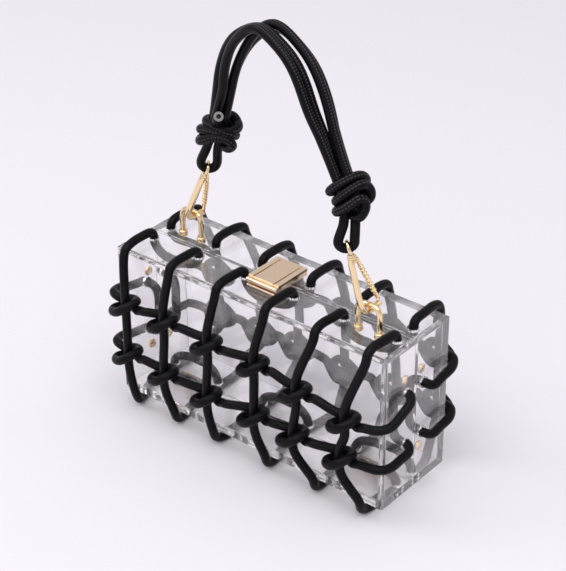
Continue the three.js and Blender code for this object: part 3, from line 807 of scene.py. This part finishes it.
class HANDBAG_OT_rows(bpy.types.Operator):
    """The net's rows, each hitched round every upright, and the gold studs inside the end walls."""

    bl_idname = "handbag.rows"
    bl_label = "Net Rows"

    def execute(self, context):
        for row, label in ((1, "upper"), (2, "lower")):
            for name, body, turn in halves(f"{label}_row"):
                bm = bmesh.new()
                cord(bm, row_points(row), RIGHT)
                bm.transform(turn)
                new_piece(f"{name}_cord", bm, "net_cord", body, [name])
            for hand in ("left", "right"):
                for name, body, _ in halves(f"{label}_stud_{hand}"):
                    low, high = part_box(name)
                    middle = (low + high) / 2
                    inner = -math.copysign(1.0, middle.x)
                    start = Vector((high.x if inner < 0 else low.x, middle.y, middle.z))
                    head = stud_profile(high.x - low.x, (high.z - low.z) / 2)
                    bm = bmesh.new()
                    turned(bm, head, along_axis(start, RIGHT * inner, UP))
                    new_piece(f"{name}_gold", bm, "gold", body, [name])
        return {"FINISHED"}


# Handle geometry

def arch_bar(hand):
    at = ARCHES[hand]
    return mm(at["x"], at["y"], BOX_TOP / MM + ARCH_BAR_HEIGHT)


LEFT_FOOT, RIGHT_FOOT = (mm(ARCHES[hand]["x"], ARCHES[hand]["y"], 0) for hand in ("left", "right"))
ALONG = (RIGHT_FOOT - LEFT_FOOT).normalized()
NEAR = Vector((ALONG.y, -ALONG.x, 0.0))
MIDDLE = (RIGHT_FOOT + LEFT_FOOT) / 2


def in_handle(along, near, up):
    return MIDDLE + (ALONG * along + NEAR * near + UP * up) * MM


class PullLine:
    """One side's hook axis, from the arch's bar up to the eye, and the knot with its own lean."""

    def __init__(self, hand):
        knot = KNOTS[hand]
        self.bar = arch_bar(hand) + mm(knot["hook_slide"], 0, 0)
        self.knot_centre = in_handle(knot["along"], 0, knot["up"])
        straight = (self.knot_centre - self.bar).normalized()
        self.axis = (straight * EYE_STATION + NEAR * knot["eye_near"]).normalized()
        self.cross = self.axis.cross(NEAR).normalized()
        self.near = self.cross.cross(self.axis).normalized()
        self.eye_across = self.cross * math.cos(EYE_SWIVEL) - self.near * math.sin(EYE_SWIVEL)
        self.eye_facing = self.eye_across.cross(self.axis)
        lean = math.radians(knot["lean"])
        self.knot_axis = ALONG * math.sin(lean) + UP * math.cos(lean)
        self.knot_cross = ALONG * math.cos(lean) - UP * math.sin(lean)

    def at(self, near, station, across=0.0):
        return self.bar + (self.near * near + self.axis * station + self.cross * across) * MM

    def at_eye(self, station, across):
        return self.at(0, station) + self.eye_across * across * MM

    def at_knot(self, near, station, across=0.0):
        return self.knot_centre + (NEAR * near + self.knot_axis * station + self.knot_cross * across) * MM


PULLS = {hand: PullLine(hand) for hand in ("left", "right")}


def strand_points(pair, near_sign, twin_sign):
    """One strand from knot to knot, beside its pair's middle line as the two roll about each other."""
    corner = near_sign * STRAND_HALF_PITCH * math.sqrt(0.5)
    ends = {}
    for hand, outward, turn in (("left", -1, -math.pi / 4), ("right", 1, -3 * math.pi / 4)):
        near = corner + twin_sign * STRAND_HALF_PITCH * math.sin(turn)
        across = twin_sign * outward * STRAND_HALF_PITCH * math.cos(turn) - corner
        ends[hand] = [PULLS[hand].at_knot(near, station, across) for station in STRAND_END_STATIONS]
    body = []
    for i, at in enumerate(pair):
        before = pair[max(i - 1, 0)]
        after = pair[min(i + 1, len(pair) - 1)]
        run = Vector((after["along"] - before["along"], after["up"] - before["up"])).normalized()
        share = math.sin(math.pi * (i + 1) / (len(pair) + 1))
        radial = twin_sign * STRAND_HALF_PITCH * math.cos(at["turn"])
        open_out = STRAND_HALF_PITCH + (PAIR_OFFSET - STRAND_HALF_PITCH) * share
        aside = near_sign * open_out + twin_sign * STRAND_HALF_PITCH * math.sin(at["turn"])
        body.append(in_handle(at["along"] - run.y * radial, aside, at["up"] + run.x * radial))
    return [*ends["left"], *body, *reversed(ends["right"])]


class HANDBAG_OT_strands(bpy.types.Operator):
    """The handle's four cord strands."""

    bl_idname = "handbag.strands"
    bl_label = "Handle Strands"

    def execute(self, context):
        table = ((PAIR_FRONT, 1, 1), (PAIR_FRONT, 1, -1), (PAIR_BACK, -1, 1), (PAIR_BACK, -1, -1))
        for i, strand in enumerate(table, 1):
            bm = bmesh.new()
            cord(bm, eased(strand_points(*strand)), NEAR)
            new_piece(f"handle_strand_{i}_cord", bm, "handle_cord", "front", [f"handle_strand_{i}"])
        return {"FINISHED"}


def loop_points(line):
    """From inside the knot down one leg, through the hook's eye and up the other leg."""
    half = LOOP_HALF_WIDTH
    drop = line.at(0, EYE_STATION) - line.knot_centre

    def side(sign):
        return [
            line.at_eye(EYE_STATION, sign * half * 0.6) - drop * 0.78,
            line.at_eye(EYE_STATION, sign * half * 0.72) - drop * 0.5,
            line.at_eye(EYE_STATION + half, sign * half),
            line.at_eye(EYE_STATION + half * CORNER_CUT, sign * half * CORNER_REACH),
        ]

    return [*side(-1), line.at(0, EYE_STATION), *reversed(side(1))]


# Cords of each handle knot: across, near and up from the knot's middle, in millimetres
KNOT_CORDS = {
    "left": (
        ((-7.0, -5.0, 0.4), (-8.0, 0.0, 2.6), (-5.9, 3.7, 4.0), (-1.9, 5.7, 5.4), (3.5, 6.0, 6.6),
         (8.2, 4.2, 6.4), (11.1, 0.6, 5.2), (11.2, -4.4, 1.9)),
        ((-6.3, -0.6, -4.1), (-7.6, 3.7, -2.4), (-5.2, 7.7, -0.1), (0.6, 8.2, 2.9), (5.8, 6.2, 4.0),
         (9.5, 2.7, 5.2), (10.8, -2.3, 5.6), (9.2, -7.0, 5.6), (5.2, -10.0, 5.2), (1.7, -10.4, 6.4),
         (-2.0, -10.9, 5.0), (-5.0, -10.3, 0.6)),
        ((-4.0, 1.3, -7.4), (-4.8, 6.2, -6.6), (-2.1, 10.1, -5.2), (2.1, 10.8, -1.2), (6.0, 8.4, 1.9),
         (9.8, 4.7, 2.5), (12.9, 1.9, 1.2), (13.8, -0.2, -2.1), (11.7, -0.1, -5.3), (7.0, -0.7, -7.4)),
        ((-2.8, -8.1, 1.6), (2.2, -8.7, 1.6), (5.7, -6.9, 0.5), (8.0, -3.7, -0.9), (7.4, 0.7, -2.9)),
        ((2.7, 4.5, 7.0), (5.2, 7.1, 12.0), (6.6, 8.1, 15.4), (7.9, 9.3, 17.8), (9.3, 10.6, 19.8)),
    ),
    "right": (
        ((-6.9, -3.7, 5.0), (-6.8, 2.9, 5.9), (-5.1, 7.2, 6.6), (0.0, 6.7, 8.2), (5.3, 3.4, 9.4),
         (8.0, -1.2, 9.8), (8.1, -6.2, 8.6), (6.0, -9.5, 5.7), (0.2, -11.0, 1.9)),
        ((-7.0, -2.1, -1.2), (-6.4, 3.4, 0.6), (-2.9, 7.2, 0.6), (3.2, 7.0, 2.5), (8.4, 3.7, 4.2),
         (10.9, -0.6, 4.9), (10.4, -4.8, 3.3), (9.5, -6.9, -0.5), (7.6, -7.0, -3.5), (4.0, -6.0, -5.0),
         (-2.3, -6.1, -4.3)),
        ((-6.4, -0.4, -5.3), (-6.0, 5.8, -4.3), (-3.4, 9.1, -4.6), (2.8, 9.1, -4.0), (7.6, 6.4, -2.7),
         (10.3, 3.4, -1.6), (10.5, 0.2, -3.6), (9.7, 0.2, -6.9), (8.3, 2.0, -9.7), (5.1, 2.4, -11.2),
         (0.2, 2.1, -10.3), (-3.6, -0.1, -8.1)),
        ((-0.7, -6.7, 3.6), (3.0, -7.6, 0.8), (4.6, -5.6, -2.8), (5.3, -0.9, -5.3), (3.5, 2.1, -7.6)),
    ),
}


def knot_cord_points(line, path):
    return [line.at_knot(near, station, across) for across, near, station in path]


class HANDBAG_OT_knots(bpy.types.Operator):
    """The handle's knots with their cord loops, and the cut end of the left knot's tail."""

    bl_idname = "handbag.knots"
    bl_label = "Handle Knots"

    def execute(self, context):
        for hand, line in PULLS.items():
            bm = bmesh.new()
            cord(bm, loop_points(line), line.eye_facing)
            new_piece(f"handle_loop_{hand}_cord", bm, "handle_cord", "front", [f"handle_loop_{hand}"])
            bm = bmesh.new()
            for path in KNOT_CORDS[hand]:
                cord(bm, knot_cord_points(line, path), NEAR)
            new_piece(f"handle_knot_{hand}_cord", bm, "handle_cord", "front", [f"handle_knot_{hand}"])
        tail = knot_cord_points(PULLS["left"], KNOT_CORDS["left"][-1])
        bm = bmesh.new()
        place = along_axis(tail[-1], (tail[-1] - tail[-2]).normalized(), RIGHT)
        turned(bm, in_metres(TAIL_RING), place)
        new_piece("handle_tail_end", bm, "handle_cord", "front", finish="cut_edge")
        return {"FINISHED"}


# Gold hardware

def arch_points(at):
    foot = BOX_TOP / MM + 0.1
    bar = BOX_TOP / MM + ARCH_BAR_HEIGHT
    bend = ARCH_CORNER * CORNER_CUT
    left, right, y = at["x"] - ARCH_HALF_SPAN, at["x"] + ARCH_HALF_SPAN, at["y"]
    return [
        mm(left, y, foot), mm(left, y, bar - ARCH_CORNER), mm(left + bend, y, bar - bend),
        mm(left + ARCH_CORNER, y, bar), mm(right - ARCH_CORNER, y, bar),
        mm(right - bend, y, bar - bend), mm(right, y, bar - ARCH_CORNER), mm(right, y, foot),
    ]


class HANDBAG_OT_arches(bpy.types.Operator):
    """The staple-shaped arches with a turned collar at each foot."""

    bl_idname = "handbag.arches"
    bl_label = "Arches"

    def execute(self, context):
        for hand, at in ARCHES.items():
            bm = bmesh.new()
            sweep(bm, smooth_route(arch_points(at), 0.7 * MM), sizes().arch_wire / 2, 20, Vector((0, 1, 0)))
            for leg in (-ARCH_HALF_SPAN, ARCH_HALF_SPAN):
                foot = Matrix.Translation(mm(at["x"] + leg, at["y"], BOX_TOP / MM))
                turned(bm, in_metres(ARCH_COLLAR), foot)
            new_piece(f"arch_{hand}_gold", bm, "gold", at["body"], [f"arch_{hand}"])
        return {"FINISHED"}


def hook_mesh(line):
    """Spine and bow in one bent bar, the eye's ring and the turned barrel under it."""
    below = -(sizes().arch_wire / 2 + sizes().hook_wire / 2) / MM - PIECE_GAP
    spine = [
        line.at(0.4, 32), line.at(0.9, 30), line.at(1.9, 26.5), line.at(3.3, 16), line.at(4.6, 5.5),
        line.at(4.6, 1.4), line.at(3.4, below + 1.2), line.at(1.2, below), line.at(-2.5, below),
        line.at(-6, below), line.at(-8, below + 0.2),
    ]
    bm = bmesh.new()
    sweep(bm, smooth_route(spine, 0.6 * MM), sizes().hook_wire / 2, 20, line.cross, section=HOOK_SECTION)
    angles = [2 * math.pi * k / EYE_WIRE_SIDES for k in range(EYE_WIRE_SIDES)]
    wire = [(EYE_RADIUS + EYE_WIRE_RADIUS * math.cos(a), EYE_WIRE_RADIUS * math.sin(a)) for a in angles]
    ring = along_axis(line.at(0, EYE_STATION), line.eye_across, line.axis)
    turned(bm, in_metres(wire), ring, steps=36)
    turned(bm, in_metres(HOOK_BARREL), along_axis(line.bar, line.axis, line.near))
    return bm


def gate_mesh(line):
    """A slim bar from the barrel down to the bow's nose, with ridges along its middle."""
    top, foot = line.at(-2.6, 28), line.at(-8, -0.9)
    route = smooth_route([top, top.lerp(foot, 0.5), foot], MM)
    bm = bmesh.new()
    sweep(bm, route, GATE_RADIUS * MM, 16, line.cross, section=GATE_SECTION)
    gate_axis = (foot - top).normalized()
    for k in range(GATE_RIDGES["count"]):
        middle = top.lerp(foot, GATE_RIDGES["first"] + GATE_RIDGES["spacing"] * k)
        turned(bm, in_metres(GATE_RIDGE), along_axis(middle, gate_axis, line.near), steps=18)
    return bm


class HANDBAG_OT_hooks(bpy.types.Operator):
    """The snap hooks: eye, barrel, spine and bow in one piece, and the sprung gate."""

    bl_idname = "handbag.hooks"
    bl_label = "Snap Hooks"

    def execute(self, context):
        for hand, line in PULLS.items():
            new_piece(f"hook_{hand}_gold", hook_mesh(line), "gold", "front", [f"hook_{hand}"])
            gate = f"hook_gate_{hand}"
            new_piece(f"{gate}_gold", gate_mesh(line), "gold", f"gate_{hand}", [gate])
        return {"FINISHED"}


def clasp_base_mesh():
    """A thin foot plate with a block on it that clears the lever's front edge."""
    low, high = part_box("clasp_base")
    edge, foot, inset, set_back = (size * MM for size in (0.3, 1.2, 1.5, 3.9))
    bm = bmesh.new()
    block(bm, (low.x, low.y, low.z), (high.x, high.y, low.z + foot), edge)
    block(bm, (low.x + inset, low.y + set_back, low.z), (high.x - inset, high.y, high.z), edge)
    return bm


def clasp_lever_mesh():
    """A plate in three panels with slits between, end bars, side skirts and a rolled front edge."""
    low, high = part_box("clasp_lever")
    barrel, roll, slit, strip, plate, skirt = (size * MM for size in (2.0, 1.5, 0.9, 3.4, 1.8, 4.4))
    edge, skirt_wall, skirt_inset, bar_depth, bar_drop = (size * MM for size in (0.3, 1.1, 0.4, 1.6, 0.7))
    axis_y = low.y + barrel
    front = axis_y + MM
    bm = bmesh.new()
    panels = (
        (low.x, low.x + strip), (low.x + strip + slit, high.x - strip - slit), (high.x - strip, high.x))
    for left, right in panels:
        block(bm, (left, front, high.z - plate), (right, high.y, high.z), edge)
    for left, right in ((low.x, low.x + skirt_wall), (high.x - skirt_wall, high.x)):
        near = (left, front + skirt_inset, high.z - skirt)
        block(bm, near, (right, high.y - skirt_inset, high.z - edge), 0.25 * MM)
    for near, far in ((front + edge, front + bar_depth), (high.y - bar_depth, high.y - edge)):
        corner = (low.x + edge, near, high.z - plate)
        block(bm, corner, (high.x - edge, far, high.z - bar_drop), 0.1 * MM)
    length = high.x - low.x
    rolled = [
        (0.0, 0.0), (roll - edge, 0.0), (roll, edge), (roll, length - edge), (roll - edge, length),
        (0.0, length),
    ]
    turned(bm, rolled, along_axis(Vector((low.x, axis_y, low.z + roll)), RIGHT, UP))
    return bm


def clasp_stud_mesh():
    """A foot plate with a smaller block on it."""
    low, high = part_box("clasp_stud")
    foot, side, end = (size * MM for size in (1.4, 3.0, 1.6))
    bm = bmesh.new()
    block(bm, low, (high.x, high.y, low.z + foot), 0.3 * MM)
    block(bm, (low.x + side, low.y + end, low.z), (high.x - side, high.y - end, high.z), 0.5 * MM)
    return bm


class HANDBAG_OT_clasp(bpy.types.Operator):
    """The flap clasp: base, lever with two slits and a rolled front edge, and the stud on the back half."""

    bl_idname = "handbag.clasp"
    bl_label = "Clasp"

    def execute(self, context):
        table = (
            ("clasp_base", clasp_base_mesh, "front"),
            ("clasp_lever", clasp_lever_mesh, "clasp"),
            ("clasp_stud", clasp_stud_mesh, "back"),
        )
        for node, make, body in table:
            new_piece(f"{node}_gold", make(), "clasp_gold", body, [node], smooth=False)
        return {"FINISHED"}


def hinge_leaf_mesh(node, side):
    """A bonded leaf with its knuckles: two and the pin on the front half, one on the back half."""
    low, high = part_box(node)
    barrel, thickness, gap = (size * MM for size in (HINGE_BARREL, HINGE_LEAF_THICKNESS, PIECE_GAP))
    soft, fine = 0.2 * MM, 0.1 * MM
    bore = 0.0 if side < 0 else HINGE_BORE * MM
    axis_z = low.z + barrel
    centre = (low.x + high.x) / 2
    length = high.x - low.x
    third = length / 6
    bm = bmesh.new()
    inner, outer = sorted((side * (barrel + gap), side * HINGE_LEAF_WIDTH * MM))
    block(bm, (low.x, inner, high.z - thickness), (high.x, outer, high.z), soft)
    spans = ((-third, third),)
    if side < 0:
        spans = ((-length / 2, -third - gap), (third + gap, length / 2))
    for start, end in spans:
        span = end - start
        knuckle = [
            (bore, 0.0), (barrel - soft, 0.0), (barrel, soft), (barrel, span - soft), (barrel - soft, span),
            (bore, span),
        ]
        turned(bm, knuckle, along_axis(Vector((centre + start, 0.0, axis_z)), RIGHT, UP), steps=24)
        web_low, web_high = sorted(side * reach * MM for reach in HINGE_WEB)
        web_start = (centre + start + fine, web_low, high.z - thickness)
        block(bm, web_start, (centre + end - fine, web_high, high.z), fine)
    return bm


class HANDBAG_OT_hinges(bpy.types.Operator):
    """The butt hinges under the bottom seam: bonded leaves, knuckles and pins."""

    bl_idname = "handbag.hinges"
    bl_label = "Hinges"

    def execute(self, context):
        for hand in ("left", "right"):
            for half, side in (("front", -1), ("back", 1)):
                node = f"hinge_{half}_{hand}"
                new_piece(f"{node}_gold", hinge_leaf_mesh(node, side), "gold", half, [node], smooth=False)
        return {"FINISHED"}


# Stage

def camera_place():
    """The camera's matrix, from its angles, distance and target."""
    azimuth, elevation, roll = (math.radians(a) for a in (VIEW_AZIMUTH, VIEW_ELEVATION, VIEW_ROLL))
    flat = math.cos(elevation)
    back = Vector((math.sin(azimuth) * flat, -math.cos(azimuth) * flat, math.sin(elevation)))
    level = UP.cross(back).normalized()
    upward = back.cross(level)
    right = level * math.cos(roll) + upward * math.sin(roll)
    above = upward * math.cos(roll) - level * math.sin(roll)
    turn = Matrix((right, above, back)).transposed().to_4x4()
    return Matrix.Translation(VIEW_TARGET + back * VIEW_DISTANCE) @ turn


class HANDBAG_OT_stage(bpy.types.Operator):
    """A pale floor, soft studio light and the camera."""

    bl_idname = "handbag.stage"
    bl_label = "Studio Stage"

    def execute(self, context):
        scene = context.scene
        bm = bmesh.new()
        bmesh.ops.create_grid(bm, x_segments=8, y_segments=8, size=FLOOR_REACH)
        mesh = bpy.data.meshes.new("studio_floor")
        bm.to_mesh(mesh)
        bm.free()
        mesh.materials.append(studio_floor())
        floor = bpy.data.objects.new("studio_floor", mesh)
        scene.collection.objects.link(floor)

        world = bpy.data.worlds.new("studio_light")
        scene.world = world
        world.use_nodes = True
        tree = world.node_tree
        background = tree.nodes["Background"]
        background.inputs["Color"].default_value = (*WORLD_COLOUR, 1.0)
        sight = add_node(tree, "ShaderNodeLightPath").outputs["Is Transmission Ray"]
        lift = math_node(tree, "MULTIPLY", sight, WORLD_LIFT_THROUGH_WALLS)
        tree.links.new(math_node(tree, "ADD", lift, WORLD_STRENGTH), background.inputs["Strength"])
        for lamp in SOFTBOXES:
            self.softbox(**lamp)
        scene.cycles.max_bounces = CLEAR_BOUNCES
        scene.cycles.transmission_bounces = CLEAR_BOUNCES
        scene.cycles.glossy_bounces = GLOSSY_BOUNCES

        camera = bpy.data.objects.new("camera", bpy.data.cameras.new("camera"))
        camera.matrix_world = camera_place()
        camera.data.lens = VIEW_LENS
        camera.data.sensor_width = VIEW_SENSOR
        camera.data.clip_start = 0.01
        scene.collection.objects.link(camera)
        scene.camera = camera
        scene.view_settings.view_transform = "Standard"
        return {"FINISHED"}

    def softbox(self, name, place, size, power):
        light = bpy.data.lights.new(name, "AREA")
        light.shape = "SQUARE"
        light.size = size
        light.energy = power
        lamp = bpy.data.objects.new(name, light)
        lamp.location = place
        lamp.rotation_euler = (LIGHT_AIM - Vector(place)).to_track_quat("-Z", "Y").to_euler()
        bpy.context.scene.collection.objects.link(lamp)


OPERATORS = (
    HANDBAG_OT_stage,
    HANDBAG_OT_trays,
    HANDBAG_OT_uprights,
    HANDBAG_OT_rows,
    HANDBAG_OT_strands,
    HANDBAG_OT_knots,
    HANDBAG_OT_arches,
    HANDBAG_OT_hooks,
    HANDBAG_OT_clasp,
    HANDBAG_OT_hinges,
)


class HANDBAG_PT_pieces(bpy.types.Panel):
    """Lists the handbag's sizes, colours and pieces."""

    bl_idname = "HANDBAG_PT_pieces"
    bl_label = "Clear Box Handbag"
    bl_space_type = "VIEW_3D"
    bl_region_type = "UI"
    bl_category = "Handbag"

    def draw(self, context):
        layout = self.layout
        for group in (context.scene.handbag_sizes, context.scene.handbag_colours):
            box = layout.box()
            for key in group.__annotations__:
                box.prop(group, key)
        for operator in OPERATORS:
            layout.operator(operator.bl_idname)


CLASSES = (HandbagSizes, HandbagColours, *OPERATORS, HANDBAG_PT_pieces)


def register():
    for item in CLASSES:
        bpy.utils.register_class(item)
    bpy.types.Scene.handbag_sizes = PointerProperty(type=HandbagSizes)
    bpy.types.Scene.handbag_colours = PointerProperty(type=HandbagColours)


def unregister():
    del bpy.types.Scene.handbag_colours
    del bpy.types.Scene.handbag_sizes
    for item in reversed(CLASSES):
        bpy.utils.unregister_class(item)


def main():
    register()
    for operator in OPERATORS:
        family, name = operator.bl_idname.split(".")
        getattr(getattr(bpy.ops, family), name)()
    bpy.context.view_layer.update()


if __name__ == "__main__":
    main()
